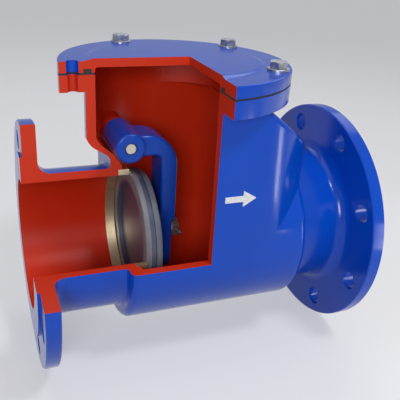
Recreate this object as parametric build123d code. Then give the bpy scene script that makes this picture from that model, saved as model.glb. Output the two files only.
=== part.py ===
from build123d import *
from math import cos, radians, sin, sqrt, tan
import os

# Flanged swing check valve, shown with a quarter of its body cut away.
# Millimetres. +X runs with the flow, +Z points up to the cover, and the cutaway faces -Y.
# The origin is the centre of the outlet flange's sealing face, so the body lies at -X.

# Pipe run
face_to_face = 393.0
bore_d = 150.0
neck_wall = 9.5
flange_d = 285.0
flange_thickness = 19.0
flange_rim_chamfer = 1.2
raised_face_d = 212.0
raised_face_height = 3.0
flange_fillet = 14.0
flange_bolt_edge = 22.5
flange_hole_d = 23.0
flange_hole_count = 8

# Chamber: a level barrel, an upright shaft on it and a hood behind the shaft
barrel_d = 202.0
barrel_wall = 10.5
barrel_start = 100.0
barrel_end = 314.0
barrel_edge_radius = 8.0
barrel_root_radius = 5.0
barrel_tail_radius = 10.0
chamber_edge_radius = 4.0
seat_wall_face = 114.0
shaft_axis = 174.2
shaft_d = 202.0
shaft_wall = 11.0
shaft_foot_height = 116.0
shaft_foot_radius = 24.0
inner_foot_lift = 2.5
inner_step_drop = 17.0
inner_step_length = 10.0
inner_step_radius = 4.0
seat_shoulder = 4.0
seat_shoulder_radius = 3.0
notch_height = 98.5
notch_radius = 10.0
hood_end = 328.7
hood_corner_radius = 85.0
roof_start = 70.8
roof_slope = 36.9
roof_edge_radius = 7.0

# Cover joint
cover_overhang = 27.3
body_flange_underside = 174.8
body_flange_thickness = 18.5
gasket_thickness = 2.2
gasket_rim_inset = 0.75
gasket_bore_inset = 1.0
cover_rim_thickness = 12.4
cover_boss_d = 202.0
cover_boss_slope = 9.0
cover_boss_height = 2.6
cover_plate_thickness = 9.5
cover_hollow_radius = 3.0
cover_edge_radius = 2.0
seal_groove_land = 3.75
seal_groove_width = 8.5
seal_groove_depth = 4.0
seal_squeeze_gap = 0.3
cover_bolt_count = 5
cover_bolt_edge = 14.4
bolt_d = 12.0
bolt_hole_clearance = 1.0
bolt_thread_root_d = 10.4
bolt_thread_gap = 0.1
bolt_thread_relief = 0.5
bolt_head_flats = 18.0
bolt_head_height = 7.5
bolt_length = 35.0
spot_face_gap = 0.5
washer_d = 24.0
washer_thickness = 2.5
washer_chamfer = 0.4
washer_hole_gap = 0.5

# Turned corners of a hexagon: their reach down, as a share of its height, and onto the flats
hexagon_crown = 0.15
hexagon_turning = 0.3

# Seat
seat_ring_d = 164.0
seat_ring_length = 13.0
seat_ring_recess = 4.6
seat_lip_chamfer = 1.0

# Hinge
hinge_height = 118.0
hinge_offset = 116.0
hub_d = 34.0
hub_length = 65.0
hub_rounding = 3.0
pin_d = 13.5
pin_running_gap = 0.08
pin_end_inset = 1.0
pin_chamfer = 1.0
arm_width = 42.0
arm_leg_face = 175.0
arm_leg_thickness = 19.5
arm_leg_radius = 4.0
arm_foot_step = 4.0
arm_step_height = 22.0
arm_step_radius = 2.0
arm_foot_drop = 51.0
arm_foot_radius = 18.0
arm_top_drop = 6.5
arm_top_thickness = 25.0
arm_bend_radius = 39.0
arm_crotch_radius = 8.0
arm_edge_radius = 3.5
lug_d = 28.0
thrust_washer_thickness = 2.0
thrust_gap = 0.3
bush_wall = 3.0
pin_boss_d = 44.0
pin_boss_height = 13.5
plug_thread_d = 26.0
plug_thread_length = 14.0
plug_bush_gap = 8.7
plug_head_flats = 32.0
plug_head_height = 12.0
plug_collar_d = 36.0
plug_collar_height = 3.0
plug_seal_thickness = 1.5
plug_seal_gap = 0.5
plug_thread_gap = 0.1

# Disc
disc_seat_gap = 0.3
disc_face_d = 157.0
disc_land = 2.5
disc_thickness = 12.5
disc_back_d = 154.0
disc_recess_d = 121.0
disc_recess_depth = 5.0
facing_inner_d = 128.0
facing_thickness = 6.0
facing_chamfer = 1.0
back_plate_thickness = 7.0
back_plate_d = 153.0
back_plate_rear_d = 152.0
back_plate_edge_radius = 1.5
back_plate_groove = 1.2
back_plate_groove_depth = 1.5
back_boss_d = 64.0
back_boss_height = 6.0
arm_disc_gap = 0.3
stud_d = 16.0
stud_chamfer = 1.2
stud_hole_gap = 0.5
stud_floor = 2.5
stud_projection = 2.0
stud_washer_d = 30.0
stud_washer_thickness = 3.0
stud_washer_gap = 0.3
nut_flats = 24.0
nut_height = 9.0
nut_thread_gap = 0.05
nut_slot_width = 4.0
nut_slot_depth = 4.0
split_pin_d = 3.2
split_pin_gap = 0.15
split_pin_length = 32.0
split_pin_eye_d = 7.0
split_pin_eye_thickness = 2.6

# How far a cutting shape reaches past the face that it opens
overshoot = 1.0

# Display cutaway: the quarter in front of the middle plane, above the axis, is taken away
cutaway_end = 191.0

# Places worked out from the sizes above
inlet_x = -face_to_face
bore_r = bore_d / 2
neck_r = bore_r + neck_wall
flange_r = flange_d / 2
raised_face_r = raised_face_d / 2
flange_bolt_circle_r = flange_r - flange_bolt_edge
barrel_r = barrel_d / 2
barrel_inner_r = barrel_r - barrel_wall
shaft_r = shaft_d / 2
shaft_inner_r = shaft_r - shaft_wall
shaft_x = inlet_x + shaft_axis
hood_end_x = inlet_x + hood_end
roof_x = shaft_x + roof_start
chamber_x = inlet_x + seat_wall_face
seat_ring_r = seat_ring_d / 2
seat_floor_x = chamber_x - seat_ring_recess
seat_face_x = seat_floor_x + seat_ring_length
cover_r = shaft_r + cover_overhang
cover_bolt_circle_r = cover_r - cover_bolt_edge
gasket_z = body_flange_underside + body_flange_thickness
cover_z = gasket_z + gasket_thickness
cover_rim_top = cover_z + cover_rim_thickness
cover_top = cover_rim_top + cover_boss_height
seal_groove_in = shaft_inner_r + seal_groove_land
seal_groove_out = seal_groove_in + seal_groove_width
hinge_x = inlet_x + hinge_offset
hub_half = hub_length / 2
lug_face_y = hub_half + thrust_gap + thrust_washer_thickness
bush_d = pin_d + 2 * bush_wall
pin_boss_end = sqrt(shaft_r**2 - (shaft_x - hinge_x) ** 2) + pin_boss_height
plug_seat_y = pin_boss_end + plug_seal_thickness
bush_end = plug_seat_y - plug_thread_length - plug_bush_gap
disc_front_x = seat_face_x + disc_seat_gap
disc_back_x = disc_front_x + disc_thickness
disc_face_r = disc_face_d / 2
facing_inner_r = facing_inner_d / 2
rebate_x = disc_front_x + facing_thickness
recess_x = disc_front_x + disc_recess_depth
back_plate_x = disc_back_x + back_plate_thickness
back_boss_x = back_plate_x + back_boss_height
arm_front_x = back_boss_x + arm_disc_gap
arm_leg_x = inlet_x + arm_leg_face
arm_foot_x = arm_leg_x - arm_foot_step
stud_start_x = recess_x + stud_floor
stud_washer_x = arm_foot_x + arm_disc_gap
nut_x = stud_washer_x + stud_washer_thickness
stud_end_x = nut_x + nut_height + stud_projection
split_pin_x = nut_x + nut_height - nut_slot_depth / 2
cutaway_x = inlet_x + cutaway_end
flange_pitch = 360 / flange_hole_count
cover_pitch = 360 / cover_bolt_count


def outline(points, plane):
    """A closed face from (along, up, corner radius) points on a plane."""
    corners = [(p[0], p[1]) for p in points]
    radii = [p[2] for p in points]
    with BuildSketch(plane) as sketch:
        with BuildLine():
            FilletPolyline(*corners, radius=radii, close=True)
        make_face()
    return sketch.sketch


def turned(points, axis):
    """A body turned about an axis from a half section drawn in the XZ plane."""
    return revolve(outline(points, Plane.XZ), axis)


def across(points, half_width):
    """A side profile drawn in the XZ plane and pushed out to both sides along Y."""
    return extrude(outline(points, Plane.XZ), amount=half_width, both=True)


def rod_x(x, z, diameter, length):
    """A round bar along X that starts at x."""
    return Pos(x, 0, z) * extrude(Plane.YZ * Circle(diameter / 2), amount=length)


def rod_y(x, y, z, diameter, length):
    """A round bar along Y that starts at y."""
    return Pos(x, y, z) * extrude(Plane.ZX * Circle(diameter / 2), amount=length)


def rod_z(x, y, z, diameter, length):
    """A round bar along Z that starts at z."""
    return Pos(x, y, z) * extrude(Circle(diameter / 2), amount=length)


def hexagon(flats, height):
    """A hexagonal prism on the XY plane with its top corners turned off."""
    corner_r = flats / 2 / cos(radians(30))
    prism = extrude(RegularPolygon(flats / 2, 6, major_radius=False), amount=height)
    cone = Pos(0, 0, height / 2) * Cylinder(corner_r, height)
    reach = corner_r - flats / 2 + hexagon_turning
    return prism & chamfer(cone.edges().sort_by(Axis.Z)[-1], height * hexagon_crown, reach)


def cutaway(shape):
    """Takes the display quarter away from a piece."""
    reach = 2 * face_to_face
    quarter = Pos(cutaway_x - reach, -reach, 0) * Box(
        reach, reach, reach, align=(Align.MIN, Align.MIN, Align.MIN)
    )
    return shape - quarter


def on_cover_circle(indexes):
    """The cover screw places, counted round from the one on the inlet side."""
    places = []
    for index in indexes:
        angle = radians(180 - cover_pitch * index)
        along = cover_bolt_circle_r * cos(angle)
        places.append(Pos(shaft_x + along, cover_bolt_circle_r * sin(angle), 0))
    return places


all_bolts = range(cover_bolt_count)
# The cutaway passes through the first place and takes the last one away with its screw.
kept_bolts = range(1, cover_bolt_count - 1)


def pipe_run():
    """The outside that is turned about the flow axis: both flanges, the necks and the barrel."""
    start = inlet_x + barrel_start
    end = inlet_x + barrel_end
    rim_r = flange_r - flange_rim_chamfer
    plate_x = inlet_x + raised_face_height
    back_x = inlet_x + flange_thickness
    inlet_flange = [
        (inlet_x, 0, 0),
        (inlet_x, raised_face_r, 0),
        (plate_x, raised_face_r, 0),
        (plate_x, rim_r, 0),
        (plate_x + flange_rim_chamfer, flange_r, 0),
        (back_x - flange_rim_chamfer, flange_r, 0),
        (back_x, rim_r, 0),
        (back_x, neck_r, flange_fillet),
    ]
    step = barrel_r - neck_r
    root = min(barrel_root_radius, step / 3)
    barrel = [
        (start, neck_r, root),
        (start, barrel_r, min(barrel_edge_radius, step / 2)),
        (end, barrel_r, min(barrel_tail_radius, step * 5 / 8)),
        (end, neck_r, root),
    ]
    outlet_flange = [(inlet_x - x, r, radius) for x, r, radius in reversed(inlet_flange)]
    return turned(inlet_flange + barrel + outlet_flange, Axis.X)


def upright_shape(radius, foot, low_points, top):
    """An upright round shaft that ends in a rounded foot over the inlet neck."""
    left = shaft_x - radius - overshoot
    right = hood_end_x + radius
    side = [(left, top, 0), (left, foot, shaft_foot_radius)] + low_points
    side += [(low_points[-1][0], 0, 0), (right, 0, 0), (right, top, 0)]
    return rod_z(shaft_x, 0, 0, 2 * radius, top) & across(side, 2 * radius)


def hood_shape(inset, roof_drop):
    """The hood behind the shaft: flat sides, a rounded end and a roof that slopes to the outlet."""
    half = shaft_r - inset
    end = hood_end_x - inset
    corner = min(hood_corner_radius - inset, half * 0.95)
    plan = [(shaft_x, -half, 0), (end, -half, corner), (end, half, corner), (shaft_x, half, 0)]
    roof_z = body_flange_underside - roof_drop
    far = end + half
    roof = [
        (shaft_x, 0, 0),
        (far, 0, 0),
        (far, roof_z - (far - roof_x) * tan(radians(roof_slope)), 0),
        (roof_x, roof_z, 0),
        (shaft_x, roof_z, 0),
    ]
    return extrude(outline(plan, Plane.XY), amount=roof_z) & across(roof, 2 * half)


def waterway():
    """The bore, the seat ring's pocket and the round chamber, as one shape to cut out."""
    tail_x = inlet_x + barrel_end - barrel_wall
    taper = barrel_inner_r - bore_r
    tail_radius = min(barrel_tail_radius, taper)
    chamber = [
        (chamber_x, 0, 0),
        (chamber_x, barrel_inner_r, chamber_edge_radius),
        (tail_x, barrel_inner_r, tail_radius),
        (tail_x + taper, bore_r, tail_radius),
        (overshoot, bore_r, 0),
        (overshoot, 0, 0),
    ]
    bore_start = inlet_x - overshoot
    shape = turned(chamber, Axis.X)
    shape += rod_x(bore_start, 0, bore_d, seat_face_x - bore_start)
    return shape + rod_x(seat_floor_x, 0, seat_ring_d, back_boss_x - seat_floor_x)


def valve_body():
    """The casting: pipe run, shaft, cover flange and hinge bosses, hollowed and cut open."""
    flange_top = body_flange_underside + overshoot
    notch = [(inlet_x + barrel_start, notch_height, notch_radius)]
    hood = hood_shape(0, 0)
    roof_faces = hood.faces().filter_by(
        lambda f: f.normal_at().Z > 0.1 and f.normal_at().X > 0.1
    )
    roof_edges = roof_faces.edges().filter_by(lambda e: e.center().X > roof_x + overshoot)
    hood = fillet(roof_edges, roof_edge_radius)
    solid = pipe_run() + upright_shape(shaft_r, shaft_foot_height, notch, flange_top) + hood
    solid += rod_z(shaft_x, 0, body_flange_underside, 2 * cover_r, body_flange_thickness)
    boss_start = shaft_r / 2
    solid += rod_y(hinge_x, boss_start, hinge_height, pin_boss_d, pin_boss_end - boss_start)

    inner_foot = shaft_foot_height + inner_foot_lift
    inner_steps = [
        (chamber_x - inner_step_length, inner_foot - inner_step_drop, inner_step_radius),
        (chamber_x, seat_ring_r + seat_shoulder, seat_shoulder_radius),
    ]
    solid -= waterway()
    solid -= upright_shape(shaft_inner_r, inner_foot, inner_steps, gasket_z + overshoot)
    solid -= hood_shape(shaft_wall, barrel_wall / cos(radians(roof_slope)))

    # Lug, bush hole and plug thread on the hinge axis, in the far wall
    wall_y = sqrt(shaft_inner_r**2 - (shaft_x - hinge_x) ** 2)
    solid += rod_y(hinge_x, lug_face_y, hinge_height, lug_d, wall_y + shaft_wall / 2 - lug_face_y)
    bush_start = lug_face_y - overshoot
    solid -= rod_y(hinge_x, bush_start, hinge_height, bush_d, bush_end - bush_start)
    plug_hole_d = plug_thread_d + 2 * plug_thread_gap
    plug_hole_length = pin_boss_end + overshoot - bush_end
    solid -= rod_y(hinge_x, bush_end, hinge_height, plug_hole_d, plug_hole_length)

    # Flange holes straddle the upright centreline
    for index in range(flange_hole_count):
        angle = radians(flange_pitch * (index + 0.5))
        y = flange_bolt_circle_r * sin(angle)
        z = flange_bolt_circle_r * cos(angle)
        for x in (inlet_x, -flange_thickness):
            solid -= Pos(0, y, 0) * rod_x(x, z, flange_hole_d, flange_thickness)
    thread_hole_d = bolt_thread_root_d + 2 * bolt_thread_gap
    thread_start = body_flange_underside - overshoot
    thread_length = body_flange_thickness + 2 * overshoot
    for place in on_cover_circle(all_bolts):
        solid -= place * rod_z(0, 0, thread_start, thread_hole_d, thread_length)
    return cutaway(solid)


def seat_ring():
    """The bronze ring that the disc closes on, set in its pocket flush with the bore."""
    section = [
        (seat_floor_x, bore_r, 0),
        (seat_floor_x, seat_ring_r, 0),
        (seat_face_x - seat_lip_chamfer, seat_ring_r, 0),
        (seat_face_x, seat_ring_r - seat_lip_chamfer, 0),
        (seat_face_x, bore_r + seat_lip_chamfer, 0),
        (seat_face_x - seat_lip_chamfer, bore_r, 0),
    ]
    return cutaway(turned(section, Axis.X))


def cover():
    """The round lid: a bolted rim, a raised middle, a shallow hollow and a seal groove below."""
    hollow_z = cover_top - cover_plate_thickness
    groove_top = cover_z + seal_groove_depth
    boss_foot = shaft_x + cover_boss_d / 2
    section = [
        (shaft_x, hollow_z, 0),
        (shaft_x, cover_top, 0),
        (boss_foot - cover_boss_slope, cover_top, 0),
        (boss_foot, cover_rim_top, 0),
        (shaft_x + cover_r, cover_rim_top, cover_edge_radius),
        (shaft_x + cover_r, cover_z, 0),
        (shaft_x + seal_groove_out, cover_z, 0),
        (shaft_x + seal_groove_out, groove_top, 0),
        (shaft_x + seal_groove_in, groove_top, 0),
        (shaft_x + seal_groove_in, cover_z, 0),
        (shaft_x + shaft_inner_r, cover_z, 0),
        (shaft_x + shaft_inner_r, hollow_z, cover_hollow_radius),
    ]
    lid = turned(section, Axis((shaft_x, 0, 0), (0, 0, 1)))
    hole_d = bolt_d + bolt_hole_clearance
    hole_length = cover_rim_thickness + 2 * overshoot
    spot_face_d = washer_d + 2 * spot_face_gap
    for place in on_cover_circle(all_bolts):
        lid -= place * rod_z(0, 0, cover_z - overshoot, hole_d, hole_length)
        lid -= place * rod_z(0, 0, cover_rim_top, spot_face_d, cover_boss_height + overshoot)
    return cutaway(lid)


def cover_gasket():
    """The flat gasket between body and cover."""
    cut_z = gasket_z - overshoot
    cut_length = gasket_thickness + 2 * overshoot
    bore = 2 * (shaft_inner_r + gasket_bore_inset)
    hole_d = bolt_d + 2 * bolt_hole_clearance
    sheet = rod_z(shaft_x, 0, gasket_z, 2 * (cover_r - gasket_rim_inset), gasket_thickness)
    sheet -= rod_z(shaft_x, 0, cut_z, bore, cut_length)
    for place in on_cover_circle(all_bolts):
        sheet -= place * rod_z(0, 0, cut_z, hole_d, cut_length)
    return cutaway(sheet)


def cover_seal_ring():
    """The rubber ring squeezed into the cover's groove."""
    height = seal_groove_depth - seal_squeeze_gap
    outer_d = 2 * (seal_groove_out - seal_squeeze_gap)
    inner_d = 2 * (seal_groove_in + seal_squeeze_gap)
    ring = rod_z(shaft_x, 0, cover_z, outer_d, height)
    ring -= rod_z(shaft_x, 0, cover_z - overshoot, inner_d, height + 2 * overshoot)
    return cutaway(ring)


def cover_bolt():
    """A hexagon screw, its head on the washer and its thread in the body flange."""
    seat_z = cover_rim_top + washer_thickness
    tip_z = seat_z - bolt_length
    shank_z = gasket_z + bolt_thread_relief
    screw = Pos(0, 0, seat_z) * hexagon(bolt_head_flats, bolt_head_height)
    screw += rod_z(0, 0, shank_z, bolt_d, seat_z - shank_z)
    return screw + rod_z(0, 0, tip_z, bolt_thread_root_d, shank_z - tip_z)


def cover_washer():
    """A flat washer under a cover screw."""
    hole_d = bolt_d + 2 * washer_hole_gap
    ring = rod_z(0, 0, cover_rim_top, washer_d, washer_thickness)
    ring = chamfer(ring.edges().sort_by(Axis.Z)[-1], washer_chamfer)
    return ring - rod_z(0, 0, cover_rim_top - overshoot, hole_d, washer_thickness + 2 * overshoot)


def hinge_arm():
    """The cast arm: hub on the pin, a bend over the disc and a foot that holds its stud."""
    leg_front = arm_leg_x - arm_leg_thickness
    top_z = hinge_height + hub_d / 2 - arm_top_drop
    under_z = top_z - arm_top_thickness
    side = [
        (hinge_x, top_z, 0),
        (arm_leg_x, top_z, arm_bend_radius),
        (arm_leg_x, arm_step_height, arm_step_radius),
        (arm_foot_x, arm_step_height - arm_foot_step, arm_step_radius),
        (arm_foot_x, -arm_foot_drop, 0),
        (arm_front_x, -arm_foot_drop, 0),
        (arm_front_x, arm_step_height, arm_step_radius),
        (leg_front, arm_step_height + leg_front - arm_front_x, arm_leg_radius),
        (leg_front, under_z, arm_crotch_radius),
        (hinge_x, under_z, 0),
    ]
    half = arm_width / 2
    front = [
        (-half, hinge_height + hub_d, 0),
        (-half, -arm_foot_drop, arm_foot_radius),
        (half, -arm_foot_drop, arm_foot_radius),
        (half, hinge_height + hub_d, 0),
    ]
    bar = across(side, half)
    bar = bar & extrude(outline(front, Plane.YZ), amount=face_to_face, both=True)
    rims = bar.faces().filter_by(Axis.Y).edges()
    rims = rims.filter_by(lambda e: e.center().X > hinge_x + overshoot)
    bar = fillet(rims, arm_edge_radius)

    hub = rod_y(hinge_x, -hub_half, hinge_height, hub_d, hub_length)
    bar += fillet(hub.edges().filter_by(GeomType.CIRCLE), hub_rounding)
    pin_hole_d = pin_d + 2 * pin_running_gap
    bar -= rod_y(
        hinge_x, -hub_half - overshoot, hinge_height, pin_hole_d, hub_length + 2 * overshoot
    )
    stud_hole_d = stud_d + 2 * stud_hole_gap
    foot_thickness = arm_foot_x - arm_front_x
    return bar - rod_x(arm_front_x - overshoot, 0, stud_hole_d, foot_thickness + 2 * overshoot)


def hinge_pin():
    """The turned pin that the arm swings on, held in the bush of the far wall."""
    start_y = -hub_half + pin_end_inset
    pin = rod_y(hinge_x, start_y, hinge_height, pin_d, bush_end - start_y)
    return chamfer(pin.edges().filter_by(GeomType.CIRCLE), pin_chamfer)


def pin_bush():
    """The bronze bush in the far lug that carries the pin."""
    length = bush_end - lug_face_y
    bush = rod_y(hinge_x, lug_face_y, hinge_height, bush_d, length)
    return bush - rod_y(
        hinge_x, lug_face_y - overshoot, hinge_height, pin_d, length + 2 * overshoot
    )


def hinge_thrust_washer():
    """The washer between the arm's hub and the lug."""
    start_y = hub_half + thrust_gap
    hole_d = pin_d + 2 * pin_running_gap
    hole_length = thrust_washer_thickness + 2 * overshoot
    ring = rod_y(hinge_x, start_y, hinge_height, lug_d, thrust_washer_thickness)
    return ring - rod_y(hinge_x, start_y - overshoot, hinge_height, hole_d, hole_length)


def pin_plug_seal():
    """The sealing washer under the plug's collar."""
    hole_d = plug_thread_d + 2 * plug_seal_gap
    hole_length = plug_seal_thickness + 2 * overshoot
    ring = rod_y(hinge_x, pin_boss_end, hinge_height, plug_collar_d, plug_seal_thickness)
    return ring - rod_y(hinge_x, pin_boss_end - overshoot, hinge_height, hole_d, hole_length)


def pin_plug():
    """The hexagon plug that closes the hinge boss behind the pin."""
    thread_y = plug_seat_y - plug_thread_length
    plug = rod_y(hinge_x, plug_seat_y, hinge_height, plug_collar_d, plug_collar_height)
    plug += rod_y(hinge_x, thread_y, hinge_height, plug_thread_d, plug_thread_length)
    head = Pos(hinge_x, plug_seat_y + plug_collar_height, hinge_height) * Rot(-90, 0, 0)
    return plug + head * hexagon(plug_head_flats, plug_head_height)


def disc_radius(x):
    """The radius of the disc's coned side at x."""
    cone_x = disc_front_x + disc_land
    share = (x - cone_x) / (disc_back_x - cone_x)
    return (disc_face_d + share * (disc_back_d - disc_face_d)) / 2


def disc():
    """The closing disc: a hollowed front, a rebate for the facing and a coned side."""
    recess_r = disc_recess_d / 2
    groove_x = disc_back_x - back_plate_groove
    groove_r = back_plate_d / 2 - back_plate_groove_depth
    section = [
        (recess_x, 0, 0),
        (recess_x, recess_r, 0),
        (disc_front_x, recess_r, 0),
        (disc_front_x, facing_inner_r, 0),
        (rebate_x, facing_inner_r, 0),
        (rebate_x, disc_radius(rebate_x), 0),
        (groove_x, disc_radius(groove_x), 0),
        (groove_x, groove_r, 0),
        (disc_back_x, groove_r, 0),
        (disc_back_x, 0, 0),
    ]
    stud_hole_length = disc_back_x + overshoot - stud_start_x
    return turned(section, Axis.X) - rod_x(stud_start_x, 0, stud_d, stud_hole_length)


def disc_facing():
    """The rubber ring in the disc's rebate, the part that meets the seat."""
    section = [
        (disc_front_x, facing_inner_r, 0),
        (disc_front_x, disc_face_r - facing_chamfer, 0),
        (disc_front_x + facing_chamfer, disc_face_r, 0),
        (disc_front_x + disc_land, disc_face_r, 0),
        (rebate_x, disc_radius(rebate_x), 0),
        (rebate_x, facing_inner_r, 0),
    ]
    return turned(section, Axis.X)


def disc_back_plate():
    """The plate behind the disc, with the boss that the arm bears on."""
    section = [
        (disc_back_x, stud_d / 2, 0),
        (disc_back_x, back_plate_d / 2, 0),
        (back_plate_x, back_plate_rear_d / 2, back_plate_edge_radius),
        (back_plate_x, back_boss_d / 2, 0),
        (back_boss_x, back_boss_d / 2, back_plate_edge_radius),
        (back_boss_x, stud_d / 2, 0),
    ]
    return turned(section, Axis.X)


def disc_stud():
    """The stud that ties disc, plate and arm together, drilled for its split pin."""
    stud = rod_x(stud_start_x, 0, stud_d, stud_end_x - stud_start_x)
    stud = chamfer(stud.edges().filter_by(GeomType.CIRCLE), stud_chamfer)
    return stud - rod_y(split_pin_x, -stud_d, 0, split_pin_d + 2 * split_pin_gap, 2 * stud_d)


def disc_washer():
    """The washer between the arm's foot and the nut."""
    hole_length = stud_washer_thickness + 2 * overshoot
    ring = rod_x(stud_washer_x, 0, stud_washer_d, stud_washer_thickness)
    return ring - rod_x(stud_washer_x - overshoot, 0, stud_d + 2 * stud_washer_gap, hole_length)


def disc_nut():
    """The slotted nut on the stud."""
    nut = Pos(nut_x, 0, 0) * Rot(0, 90, 0) * hexagon(nut_flats, nut_height)
    slot = Box(2 * nut_slot_depth, 2 * nut_flats, nut_slot_width)
    for turn in (0, 60, 120):
        nut -= Pos(nut_x + nut_height, 0, 0) * Rot(turn, 0, 0) * slot
    thread_d = stud_d + 2 * nut_thread_gap
    return nut - rod_x(nut_x - overshoot, 0, thread_d, nut_height + 2 * overshoot)


def disc_split_pin():
    """The split pin through nut and stud, with its eye at the front."""
    half = split_pin_length / 2
    pin = rod_y(split_pin_x, -half, 0, split_pin_d, split_pin_length)
    eye_y = -half - split_pin_eye_d / 2 + split_pin_d / 2
    eye_x = split_pin_x - split_pin_eye_thickness / 2
    hole_length = split_pin_eye_thickness + 2 * overshoot
    eye = rod_x(eye_x, 0, split_pin_eye_d, split_pin_eye_thickness)
    eye -= rod_x(eye_x - overshoot, 0, split_pin_eye_d / 2, hole_length)
    return pin + Pos(0, eye_y, 0) * eye


os.makedirs("parts", exist_ok=True)

pieces = {
    "valve_body": valve_body(),
    "cover": cover(),
    "cover_gasket": cover_gasket(),
    "cover_seal_ring": cover_seal_ring(),
    "cover_bolts": Compound([place * cover_bolt() for place in on_cover_circle(kept_bolts)]),
    "cover_washers": Compound([place * cover_washer() for place in on_cover_circle(kept_bolts)]),
    "seat_ring": seat_ring(),
    "hinge_arm": hinge_arm(),
    "hinge_pin": hinge_pin(),
    "pin_bush": pin_bush(),
    "hinge_thrust_washer": hinge_thrust_washer(),
    "pin_plug_seal": pin_plug_seal(),
    "pin_plug": pin_plug(),
    "disc": disc(),
    "disc_facing": disc_facing(),
    "disc_back_plate": disc_back_plate(),
    "disc_stud": disc_stud(),
    "disc_washer": disc_washer(),
    "disc_nut": disc_nut(),
    "disc_split_pin": disc_split_pin(),
}

for name, piece in pieces.items():
    export_step(piece, f"parts/{name}.step")
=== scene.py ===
import math

import bmesh
import bpy
from mathutils import Matrix, Vector


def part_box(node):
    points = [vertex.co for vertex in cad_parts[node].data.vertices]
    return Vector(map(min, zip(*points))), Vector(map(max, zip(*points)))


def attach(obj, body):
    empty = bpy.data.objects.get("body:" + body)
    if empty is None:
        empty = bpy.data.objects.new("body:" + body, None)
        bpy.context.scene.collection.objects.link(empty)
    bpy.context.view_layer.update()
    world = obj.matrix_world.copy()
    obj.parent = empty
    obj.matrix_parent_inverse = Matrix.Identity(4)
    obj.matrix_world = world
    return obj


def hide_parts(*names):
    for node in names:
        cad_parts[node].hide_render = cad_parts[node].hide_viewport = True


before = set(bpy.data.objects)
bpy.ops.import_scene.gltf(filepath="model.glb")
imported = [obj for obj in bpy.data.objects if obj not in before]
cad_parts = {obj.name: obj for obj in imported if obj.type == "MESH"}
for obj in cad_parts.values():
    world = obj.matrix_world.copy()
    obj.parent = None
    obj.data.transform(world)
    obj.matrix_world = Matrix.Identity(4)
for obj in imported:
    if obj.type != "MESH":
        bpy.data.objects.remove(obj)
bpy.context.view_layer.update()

# Valve body: one grey iron casting with two pipe flanges and a flange for the cover.
# It is sprayed with blue gloss enamel outside, and the sawn faces and the waterway are brushed red.
ENAMEL_BLUE = (0.001, 0.076, 0.56, 1)
ENAMEL_BLUE_DEEP = (0.001, 0.055, 0.46, 1)
PAINT_RED = (0.60, 0.030, 0.006, 1)
PAINT_RED_DEEP = (0.50, 0.018, 0.005, 1)
CASTING_EDGE = 0.0005
ON_PLANE = 0.00002
CREASE = math.radians(28)
FLAT = math.radians(0.05)
TOUCHING = 0.000002


class Signal:
    """A shader socket that takes part in arithmetic: an expression on it adds its Math nodes."""

    def __init__(self, tree, socket=None):
        self.tree = tree
        self.socket = socket

    def node(self, kind, settings=None, inputs=None, output=0):
        """Adds a node, with its settings first and then its sockets, and gives one output."""
        made = self.tree.nodes.new("ShaderNode" + kind)
        for name, value in (settings or {}).items():
            setattr(made, name, value)
        for name, value in (inputs or {}).items():
            if isinstance(value, Signal):
                self.tree.links.new(value.socket, made.inputs[name])
            else:
                made.inputs[name].default_value = value
        return Signal(self.tree, made.outputs[output])

    def maths(self, operation, first, second=0.0):
        return self.node("Math", {"operation": operation}, {0: first, 1: second})

    def __add__(self, other):
        return self.maths("ADD", self, other)

    def __radd__(self, other):
        return self.maths("ADD", other, self)

    def __sub__(self, other):
        return self.maths("SUBTRACT", self, other)

    def __rsub__(self, other):
        return self.maths("SUBTRACT", other, self)

    def __mul__(self, other):
        return self.maths("MULTIPLY", self, other)

    def __rmul__(self, other):
        return self.maths("MULTIPLY", other, self)

    def wave(self):
        """A sine of this signal, from 0 to 1."""
        return 0.5 + 0.5 * self.maths("SINE", self)

    def above(self, edge, width):
        """0 below the edge and 1 above it, with a ramp of that width between."""
        return self.node("MapRange", None, {"Value": self, "From Min": edge, "From Max": edge + width})

    def tint(self, low, high):
        """The colour low where this is 0 and high where it is 1."""
        return self.node(
            "Mix", {"data_type": "RGBA"}, {"Factor": self, 6: low, 7: high}, output=2
        )

    def bump(self, height, strength=1.0):
        """A normal bent by this signal, of that height in metres from 0 to 1."""
        return self.node("Bump", None, {"Height": self, "Distance": height, "Strength": strength})

    def part(self, axis):
        """One coordinate of a place: 0, 1 or 2."""
        return self.node("SeparateXYZ", None, {0: self}, output=axis)

    def around(self, centre, scale):
        """The place seen from a point and stretched along each axis."""
        moved = self.node("VectorMath", {"operation": "SUBTRACT"}, {0: self, 1: centre})
        return self.node("VectorMath", {"operation": "MULTIPLY"}, {0: moved, 1: scale})

    def length(self):
        return self.node("VectorMath", {"operation": "LENGTH"}, {0: self}, output=1)


def finish_named(name, **constants):
    """A new material: its shader, with the constant sockets set, and its object coordinates."""
    material = bpy.data.materials.new(name)
    material.use_nodes = True
    tree = material.node_tree
    shader = tree.nodes["Principled BSDF"]
    for socket, value in constants.items():
        shader.inputs[socket.replace("_", " ").title().replace("Ior", "IOR")].default_value = value
    place = Signal(tree).node("TexCoord", output="Object")
    return material, shader, place


def feed(shader, **signals):
    """Links signals to the shader's sockets."""
    for socket, signal in signals.items():
        signal.tree.links.new(signal.socket, shader.inputs[socket.replace("_", " ").title()])


def grain(place, scale, detail=2.0, roughness=0.5):
    """Cloudy noise of that many spots a metre."""
    return place.node(
        "TexNoise", None, {"Vector": place, "Scale": scale, "Detail": detail, "Roughness": roughness}
    )


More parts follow.
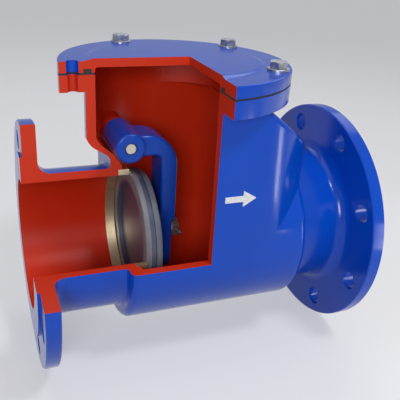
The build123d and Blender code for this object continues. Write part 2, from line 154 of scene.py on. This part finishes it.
def enamel(name, colour, deep, gloss):
    """Thick gloss paint over an iron casting: long waves of the casting, and paint peel."""
    material, shader, place = finish_named(name, Specular_Ior_Level=0.32)
    waves = grain(place, 16, 1.0)
    peel = grain(place, 380, 2.0)
    feed(
        shader,
        Base_Color=grain(place, 9, 3.0).tint(deep, colour),
        Roughness=gloss + 0.08 * grain(place, 60, 3.0),
        Normal=(waves + 0.03 * peel).bump(0.0012, 0.3),
    )
    return material


def merged_copy(node):
    """A copy of a CAD node's mesh with its loose triangles joined into whole faces."""
    shape = bmesh.new()
    shape.from_mesh(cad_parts[node].data)
    bmesh.ops.remove_doubles(shape, verts=shape.verts, dist=TOUCHING)
    bmesh.ops.dissolve_degenerate(shape, edges=shape.edges, dist=TOUCHING)
    return shape


def join_flats(shape):
    """Joins the facets of each flat stretch, as far as one finish reaches."""
    bmesh.ops.dissolve_limit(
        shape, angle_limit=FLAT, verts=shape.verts, edges=shape.edges, delimit={"MATERIAL"}
    )


def placed(shape, name, body, *materials):
    """A finished mesh as an object at the origin that rides on a body."""
    mesh = bpy.data.meshes.new(name)
    shape.to_mesh(mesh)
    shape.free()
    for material in materials:
        mesh.materials.append(material)
    piece = bpy.data.objects.new(name, mesh)
    bpy.context.scene.collection.objects.link(piece)
    mesh.shade_smooth()
    mesh.set_sharp_from_angle(angle=CREASE)
    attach(piece, body)
    return piece


def soften(piece, width, segments=2):
    """Rounds a piece's crisp edges, as paint or tumbling leaves them, and keeps its flats flat."""
    bevel = piece.modifiers.new("soft_edges", "BEVEL")
    bevel.width = width
    bevel.segments = segments
    bevel.limit_method = "ANGLE"
    bevel.angle_limit = CREASE
    even = piece.modifiers.new("even_shading", "WEIGHTED_NORMAL")
    even.keep_sharp = True


def flood(shape, near, stops):
    """The faces joined to the one nearest a point, without crossing a face the test stops at."""
    seed = min(shape.faces, key=lambda f: (f.calc_center_median() - near).length)
    found = {seed}
    edge_of_search = [seed]
    while edge_of_search:
        face = edge_of_search.pop()
        for edge in face.edges:
            for other in edge.link_faces:
                if other not in found and not stops(other):
                    found.add(other)
                    edge_of_search.append(other)
    return found


def lies_on(face, axis, value):
    """Whether all of a face's corners are on the plane where that coordinate has that value."""
    return all(abs(v.co[axis] - value) < ON_PLANE for v in face.verts)


body_low, body_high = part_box("valve_body")
cover_low, cover_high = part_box("cover")
cover_middle = (cover_low + cover_high) / 2
gasket_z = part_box("cover_gasket")[0].z
boss_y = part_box("pin_plug_seal")[0].y
sawn_x = min(v.co.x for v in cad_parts["cover"].data.vertices if v.co.y < -ON_PLANE)


def is_sawn(face):
    """Whether a face was laid bare by taking the display quarter away."""
    middle = face.calc_center_median()
    if middle.z > 0 and lies_on(face, 0, sawn_x) and middle.y < 0:
        return True
    if middle.x < sawn_x and lies_on(face, 1, 0) and middle.z > 0:
        return True
    return middle.x < sawn_x and lies_on(face, 2, 0) and middle.y < 0


def ends_waterway(face):
    """Whether a face is one of those that the waterway's red paint stops at."""
    if is_sawn(face):
        return True
    ends = ((0, body_low.x), (0, body_high.x), (2, gasket_z), (1, boss_y))
    return any(lies_on(face, axis, value) for axis, value in ends)


body_blue = enamel("body_blue_enamel", ENAMEL_BLUE, ENAMEL_BLUE_DEEP, 0.13)
sawn_red = enamel("sawn_red_paint", PAINT_RED, PAINT_RED, 0.40)
inside_red = enamel("inside_red_paint", PAINT_RED, PAINT_RED_DEEP, 0.26)

BORE_RADIUS = 0.075
BORE_INSET = 0.02
casting = merged_copy("valve_body")
bore_floor = Vector((body_high.x - BORE_INSET, 0, -BORE_RADIUS))
for face in flood(casting, bore_floor, ends_waterway):
    face.material_index = 2
OPEN_HOLE_REACH = 0.0056
OPEN_HOLE_DEPTH = 0.0185
SCREW_TO_RIM = 0.0144
screw_circle = cover_middle.x - cover_low.x - SCREW_TO_RIM
open_hole = Vector((cover_middle.x - screw_circle, 0))
for face in casting.faces:
    centre = face.calc_center_median()
    if is_sawn(face):
        face.material_index = 1
    elif centre.z > gasket_z - OPEN_HOLE_DEPTH and (centre.xy - open_hole).length < OPEN_HOLE_REACH:
        face.material_index = 2
join_flats(casting)
body_casting = placed(casting, "body_casting", "valve", body_blue, sawn_red, inside_red)
soften(body_casting, CASTING_EDGE)
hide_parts("valve_body")

# Flow arrow: a plain arrow cast on the side wall, its face picked out in white by hand.
# It points the way that the water goes, from the inlet to the outlet.
ARROW_TAIL = 0.0185
ARROW_HEAD = 0.0185
ARROW_SHAFT_HALF = 0.0035
ARROW_HEAD_HALF = 0.0095
ARROW_BARB = 0.0028
ARROW_PROUD = 0.0014
ARROW_SUNK = 0.0010
ARROW_HEIGHT = 0.078
ARROW_X = -0.1735
ARROW_EDGE = 0.0008
COVER_OVERHANG = 0.0273
ARROW_WHITE = (0.78, 0.79, 0.80, 1)
ARROW_WORN = (0.30, 0.36, 0.52, 1)

wall_y = -(cover_high.y - COVER_OVERHANG)
arrow = bmesh.new()
outline = (
    (-ARROW_TAIL, -ARROW_SHAFT_HALF),
    (ARROW_BARB, -ARROW_SHAFT_HALF),
    (ARROW_BARB, -ARROW_HEAD_HALF),
    (ARROW_HEAD, 0),
    (ARROW_BARB, ARROW_HEAD_HALF),
    (ARROW_BARB, ARROW_SHAFT_HALF),
    (-ARROW_TAIL, ARROW_SHAFT_HALF),
)
corners = [
    arrow.verts.new((ARROW_X + along, wall_y + ARROW_SUNK, ARROW_HEIGHT + up)) for along, up in outline
]
raised = bmesh.ops.extrude_face_region(arrow, geom=[arrow.faces.new(corners)])
raised_verts = [item for item in raised["geom"] if isinstance(item, bmesh.types.BMVert)]
bmesh.ops.translate(arrow, verts=raised_verts, vec=(0, -ARROW_PROUD - ARROW_SUNK, 0))
bmesh.ops.recalc_face_normals(arrow, faces=arrow.faces)
arrow_white, white_shader, white_place = finish_named("arrow_white_paint")
feed(
    white_shader,
    Base_Color=grain(white_place, 700, 3.0).above(0.30, 0.12).tint(ARROW_WORN, ARROW_WHITE),
    Roughness=0.38 + 0.2 * grain(white_place, 300, 2.0),
)
flow_arrow = placed(arrow, "flow_arrow", "valve", arrow_white)
soften(flow_arrow, ARROW_EDGE, 3)

# Seat ring: a bronze ring pressed into the casting, with its lips turned in place.
# Fine turning lines run round it.
BRONZE = (0.94, 0.81, 0.55, 1)
BRONZE_DULL = (0.72, 0.57, 0.36, 1)


def turned_metal(name, centre, axis, bright, dull, pitch):
    """Metal off a lathe: rings about an axis, a little dulled by handling."""
    material, shader, place = finish_named(name, Metallic=1.0)
    flatten = [1.0, 1.0, 1.0]
    flatten[axis] = 0.0
    radius = place.around(centre, flatten).length()
    along = place.part(axis)
    step = (radius + along) * (2 * math.pi / pitch)
    rings = step.wave() * 0.5 + grain(place.around(centre, (1, 1, 1)), 90, 3.0) * 0.5
    patches = grain(place, 45, 4.0, 0.6)
    feed(
        shader,
        Base_Color=patches.above(0.35, 0.3).tint(dull, bright),
        Roughness=0.3 + 0.22 * (1 - patches),
        Normal=rings.bump(pitch * 0.12, 0.35),
    )
    return material


def dress(node, material):
    """Gives a CAD node its finish."""
    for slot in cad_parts[node].material_slots:
        slot.material = material


dress("seat_ring", turned_metal("seat_bronze", (0, 0, 0), 0, BRONZE, BRONZE_DULL, 0.0009))

# Hinge arm: an iron casting, ground at its edges and dipped in the same blue enamel as the body.
# Its hub is drilled for the pin and its foot for the disc's stud.
# Its blue is painted darker than the body's, as painted shade for the shadow that the arm lies in.
ARM_BLUE_SHADED = (0.002, 0.066, 0.47, 1)
ARM_BLUE_DEEP_SHADED = (0.001, 0.034, 0.30, 1)
ARM_EDGE = 0.0004
arm_casting = placed(
    merged_copy("hinge_arm"), "arm_casting", "arm", enamel("arm_enamel", ARM_BLUE_SHADED, ARM_BLUE_DEEP_SHADED, 0.22)
)
soften(arm_casting, ARM_EDGE)
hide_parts("hinge_arm")

# Hinge pin with its bush and thrust washer: a ground steel pin in turned bronze.
# Painted shade darkens the rim of the pin's end, where it sits in the hub.
PIN_STEEL = (0.66, 0.63, 0.55, 1)
PIN_RIM_SHADE = (0.10, 0.09, 0.07, 1)
pin_low, pin_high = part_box("hinge_pin")
pin_middle = (pin_low + pin_high) / 2
pin_radius = (pin_high.x - pin_low.x) / 2
pin_finish, pin_shader, pin_place = finish_named("pin_ground_steel", Metallic=1.0)
# Painted shade: the pin's end turns dark towards its rim, broken up by smears.
pin_reach = pin_place.around(tuple(pin_middle), (1, 0, 1)).length() * (1 / pin_radius)
pin_smears = grain(pin_place, 260, 3.0, 0.6)
feed(
    pin_shader,
    Base_Color=(pin_reach + 0.5 * pin_smears).above(1.02, 0.22).tint(PIN_STEEL, PIN_RIM_SHADE),
    Roughness=0.24 + 0.3 * pin_smears,
    Normal=pin_smears.bump(0.0003, 0.3),
)
dress("hinge_pin", pin_finish)
bush_bronze = turned_metal("bush_bronze", tuple(pin_middle), 1, BRONZE, BRONZE_DULL, 0.0008)
dress("pin_bush", bush_bronze)
dress("hinge_thrust_washer", bush_bronze)

# Plug and its seal: a zinc plated steel plug closes the hinge boss on a soft copper washer.
# Its hexagon has the corners turned off, as bar stock screws have.
PLUG_EDGE = 0.0004
ZINC = (0.50, 0.51, 0.54, 1)
ZINC_DULL = (0.27, 0.29, 0.35, 1)
COPPER = (0.55, 0.24, 0.12, 1)
COPPER_DULL = (0.30, 0.14, 0.08, 1)


def zinc_plate(name, grain_size):
    """Bright zinc plating with the faint cloud that it takes in store."""
    material, shader, place = finish_named(name, Metallic=1.0)
    cloud = grain(place, grain_size, 4.0, 0.6)
    feed(
        shader,
        Base_Color=cloud.above(0.32, 0.3).tint(ZINC_DULL, ZINC),
        Roughness=0.26 + 0.25 * cloud,
        Normal=cloud.bump(0.0002, 0.25),
    )
    return material


plug_zinc = zinc_plate("plug_zinc", 160)
plug = placed(merged_copy("pin_plug"), "plug_screw", "valve", plug_zinc)
soften(plug, PLUG_EDGE)
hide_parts("pin_plug")
dress("pin_plug_seal", turned_metal("seal_copper", tuple(pin_middle), 1, COPPER, COPPER_DULL, 0.0008))

# Disc: three turned layers, a coated front with a recess, a facing ring let into its rim
# and a back plate with a boss. They are clamped by the stud and coated in satin grey.
DISC_GREY = (0.040, 0.044, 0.080, 1)
DISC_LIGHT = (0.088, 0.098, 0.155, 1)
FACING_GREY = (0.120, 0.122, 0.142, 1)
FACING_LIGHT = (0.215, 0.218, 0.240, 1)
PLATE_GREY = (0.090, 0.105, 0.140, 1)
PLATE_LIGHT = (0.180, 0.205, 0.250, 1)


def satin_coat(name, dark, light, roughness):
    """A satin coat over turned metal: streaks that run round the flow axis, and dust."""
    material, shader, place = finish_named(name, Metallic=0.25)
    radius = place.around((0, 0, 0), (0, 1, 1)).length()
    rings = (radius * 1900 + grain(place, 14, 2.0) * 9).wave()
    cloud = grain(place, 38, 4.0, 0.6)
    feed(
        shader,
        Base_Color=(0.35 * rings + 0.8 * cloud).above(0.28, 0.55).tint(dark, light),
        Roughness=roughness + 0.18 * cloud,
        Normal=(rings + 0.6 * grain(place, 500, 2.0)).bump(0.00012, 0.3),
    )
    return material


dress("disc", satin_coat("disc_satin_coat", DISC_GREY, DISC_LIGHT, 0.30))
dress("disc_facing", satin_coat("facing_satin_rubber", FACING_GREY, FACING_LIGHT, 0.42))
dress("disc_back_plate", satin_coat("plate_satin_coat", PLATE_GREY, PLATE_LIGHT, 0.34))

# Disc stud, washer, slotted nut and split pin: they hold the disc to the arm's foot.
# The stud is cut with a coarse thread; the washer and the nut are zinc plated.
THREAD_PITCH = 0.002
THREAD_DEPTH = 0.0008
# Painted shade in the thread's roots and a painted highlight on its crests.
THREAD_ROOT_SHADE = (0.16, 0.15, 0.14, 1)
THREAD_CREST_HIGHLIGHT = (0.55, 0.53, 0.48, 1)
NUT_EDGE = 0.0003
stud_finish, stud_shader, stud_place = finish_named("stud_threaded_steel", Metallic=1.0)
stud_turn = stud_place.part(0) * (2 * math.pi / THREAD_PITCH)
feed(
    stud_shader,
    Base_Color=stud_turn.wave().tint(THREAD_ROOT_SHADE, THREAD_CREST_HIGHLIGHT),
    Roughness=0.32 + 0.2 * grain(stud_place, 200, 3.0),
    Normal=stud_turn.wave().bump(THREAD_DEPTH),
)
dress("disc_stud", stud_finish)
small_zinc = zinc_plate("nut_zinc", 220)
dress("disc_washer", small_zinc)
dress("disc_split_pin", small_zinc)
nut = placed(merged_copy("disc_nut"), "slotted_nut", "disc", small_zinc)
soften(nut, NUT_EDGE)
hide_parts("disc_nut")

# Gasket and seal ring: a black sheet gasket punched from rubbered fibre, and a rubber ring
# in the cover's groove. Only their sawn ends and the gasket's rim can be seen.
GASKET_DARK = (0.006, 0.006, 0.007, 1)
GASKET_LIGHT = (0.032, 0.030, 0.032, 1)
gasket_finish, gasket_shader, gasket_place = finish_named("gasket_black_rubber")
fibres = grain(gasket_place, 900, 3.0, 0.7)
feed(
    gasket_shader,
    Base_Color=fibres.tint(GASKET_DARK, GASKET_LIGHT),
    Roughness=0.55 + 0.3 * fibres,
    Normal=fibres.bump(0.0003, 0.5),
)
dress("cover_gasket", gasket_finish)
dress("cover_seal_ring", gasket_finish)

# Cover: a turned iron lid, enamelled blue on top and round its rim, and red below.
# The sawn faces are brushed red as the body's are, and its screw holes are drilled through.
LID_THICKNESS = 0.0095
HOLLOW_INSET = 0.03
lid = merged_copy("cover")
lid_hollow = Vector((cover_middle.x + HOLLOW_INSET, HOLLOW_INSET, cover_high.z - LID_THICKNESS))


def ends_hollow(face):
    """Whether a face is one that the red paint under the cover stops at."""
    return is_sawn(face) or lies_on(face, 2, cover_low.z)


for face in flood(lid, lid_hollow, ends_hollow):
    face.material_index = 2
for face in lid.faces:
    if is_sawn(face):
        face.material_index = 1
join_flats(lid)
cover_lid = placed(lid, "cover_lid", "valve", body_blue, sawn_red, inside_red)
soften(cover_lid, CASTING_EDGE)
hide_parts("cover")

# Cover screws and washers: zinc plated hexagon screws, each on a flat washer.
# Their heads have a turned crown, and their crisp edges are softly rounded.
SCREW_EDGE = 0.0005
screws = placed(merged_copy("cover_bolts"), "cover_screws", "valve", zinc_plate("screw_zinc", 180))
soften(screws, SCREW_EDGE, 3)
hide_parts("cover_bolts")
dress("cover_washers", zinc_plate("washer_zinc", 260))

# Studio: a pale floor, an even pale sky and soft lamps. None of it belongs to the valve.
# The floor and the sky look paler to the eye and in gloss than the light that they give.
FLOOR_COLOUR = (0.42, 0.42, 0.43, 1)
FLOOR_SHADE = (0.41, 0.41, 0.42, 1)
FLOOR_GLOW = (0.40, 0.40, 0.41, 1)
NO_GLOW = (0, 0, 0, 1)
SKY_COLOUR = (0.82, 0.85, 0.92, 1)
SKY_LIGHT = 0.20
SKY_SEEN = 0.32


def seen(signal):
    """1 where the eye looks, straight or by a gloss or clear surface, and 0 for plain light."""
    rays = ("Is Camera Ray", "Is Glossy Ray", "Is Transmission Ray")
    eye, gloss, clear = [signal.node("LightPath", output=ray) for ray in rays]
    return eye + gloss + clear


floor_shape = bmesh.new()
bmesh.ops.create_grid(floor_shape, x_segments=1, y_segments=1, size=8)
bmesh.ops.translate(floor_shape, verts=floor_shape.verts, vec=(0, 0, body_low.z))
floor_paper, paper, paper_place = finish_named("floor_paper", Roughness=0.85, Emission_Strength=1.0)
feed(
    paper,
    Base_Color=grain(paper_place, 3).tint(FLOOR_SHADE, FLOOR_COLOUR),
    Emission_Color=seen(paper_place).tint(NO_GLOW, FLOOR_GLOW),
)
floor_mesh = bpy.data.meshes.new("floor")
floor_shape.to_mesh(floor_mesh)
floor_shape.free()
floor_mesh.materials.append(floor_paper)
floor = bpy.data.objects.new("floor", floor_mesh)
bpy.context.scene.collection.objects.link(floor)

world = bpy.data.worlds.new("studio")
world.use_nodes = True
sky = world.node_tree.nodes["Background"]
sky.inputs["Color"].default_value = SKY_COLOUR
feed(sky, Strength=SKY_LIGHT + SKY_SEEN * seen(Signal(world.node_tree)))
bpy.context.scene.world = world

middle = (body_low + body_high) / 2


def lamp(name, direction, distance, width, height, power):
    """A soft box that faces the valve from that direction."""
    light = bpy.data.lights.new(name, "AREA")
    light.shape = "RECTANGLE"
    light.size = width
    light.size_y = height
    light.energy = power
    holder = bpy.data.objects.new(name, light)
    bpy.context.scene.collection.objects.link(holder)
    way = Vector(direction).normalized()
    holder.location = middle + way * distance
    holder.rotation_euler = way.to_track_quat("Z", "Y").to_euler()
    holder.visible_camera = False
    return holder


lamp("window_lamp", (-0.45, -1.0, 0.42), 1.7, 0.5, 0.5, 13)
lamp("ceiling_lamp", (0.26, -0.446, 0.857), 1.6, 0.30, 0.30, 9)
lamp("overhead_lamp", (-0.2, 0.1, 1.0), 1.5, 1.2, 1.2, 3)
lamp("back_lamp", (0.55, 1.0, 1.1), 1.7, 1.8, 0.8, 6)
lamp("strip_lamp", (0.95, -0.85, -0.08), 0.47, 0.04, 0.12, 0.16)
lamp("right_lamp", (1.0, -0.05, -0.12), 0.62, 0.5, 0.22, 0.18)

# Camera: a normal lens close by, a little upstream of the valve and above it.
CAMERA_PLACE = Vector((-0.4323, -0.6086, 0.3346))
CAMERA_TURN = math.radians(21.62)
CAMERA_DIP = math.radians(24.81)
CAMERA_ROLL = math.radians(3.28)
lens = bpy.data.cameras.new("camera")
lens.lens = 51.97
lens.sensor_width = 36
lens.shift_x = 0.0227
lens.shift_y = 0.0023
lens.clip_start = 0.01
camera = bpy.data.objects.new("camera", lens)
bpy.context.scene.collection.objects.link(camera)
camera.matrix_world = (
    Matrix.Translation(CAMERA_PLACE)
    @ Matrix.Rotation(-CAMERA_TURN, 4, "Z")
    @ Matrix.Rotation(math.radians(90) - CAMERA_DIP, 4, "X")
    @ Matrix.Rotation(CAMERA_ROLL, 4, "Z")
)
bpy.context.scene.camera = camera
bpy.context.scene.view_settings.view_transform = "Standard"
